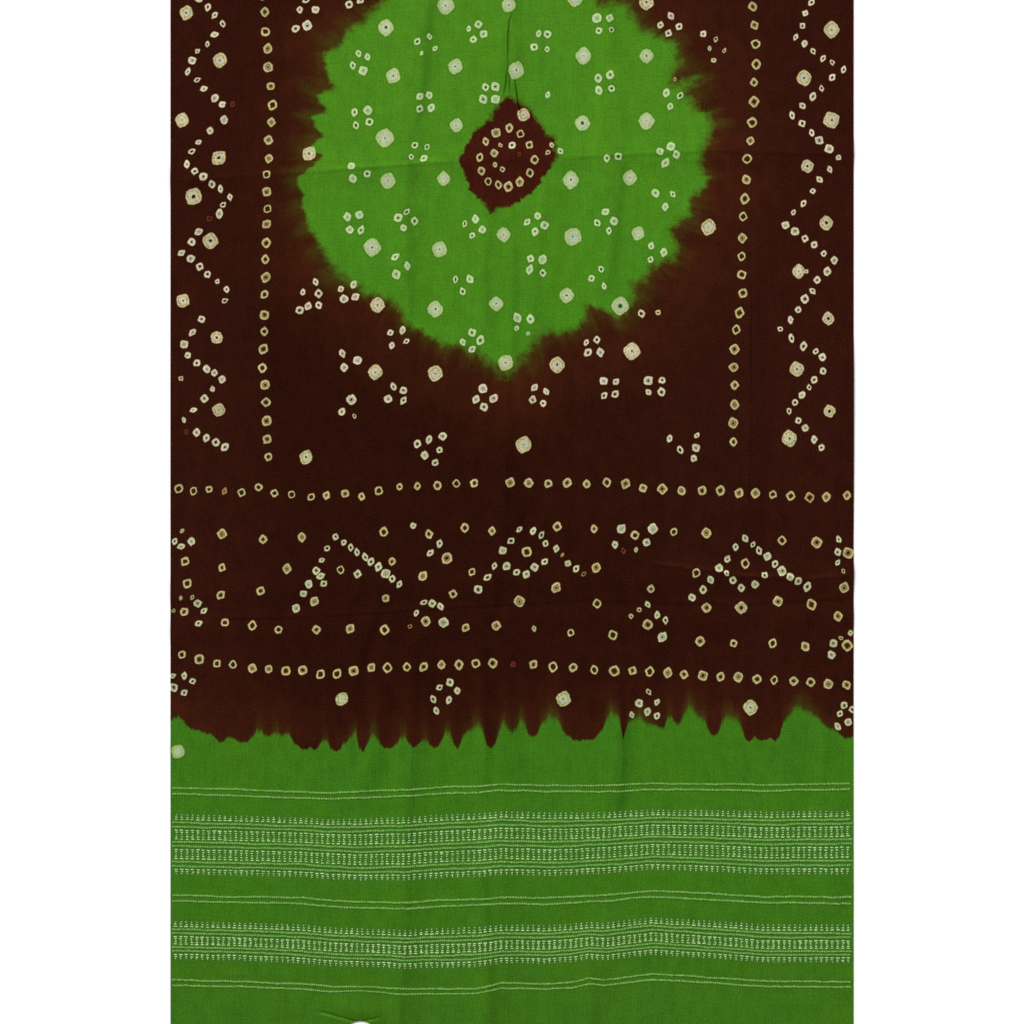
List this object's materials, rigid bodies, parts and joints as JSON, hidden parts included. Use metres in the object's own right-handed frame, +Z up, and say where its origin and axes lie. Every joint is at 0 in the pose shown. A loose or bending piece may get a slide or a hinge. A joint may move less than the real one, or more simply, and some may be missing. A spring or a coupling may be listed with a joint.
{
  "type": "bandhani cloth",
  "caption": "Tie-dyed wool cloth lying flat in soft folds: brown ground, green dotted medallion, dot rows and zigzags, and a green end with woven bands.",
  "frame": {"origin": "on the surface that the cloth lies on, under the middle of the cloth", "axes": "+X across the cloth, +Y along it towards the medallion end, +Z up out of the dyed face"},
  "size_m": [0.6503, 1.0003, 0.0063],
  "materials": {
    "dyed_wool": "matte, tie-dyed dark brown and leaf green, with cream undyed dots",
    "extra_weft": "matte pale green cotton yarn, woven in as floats"
  },
  "bodies": {
    "root": {"cloth": "dyed_wool"}
  },
  "joints": []
}
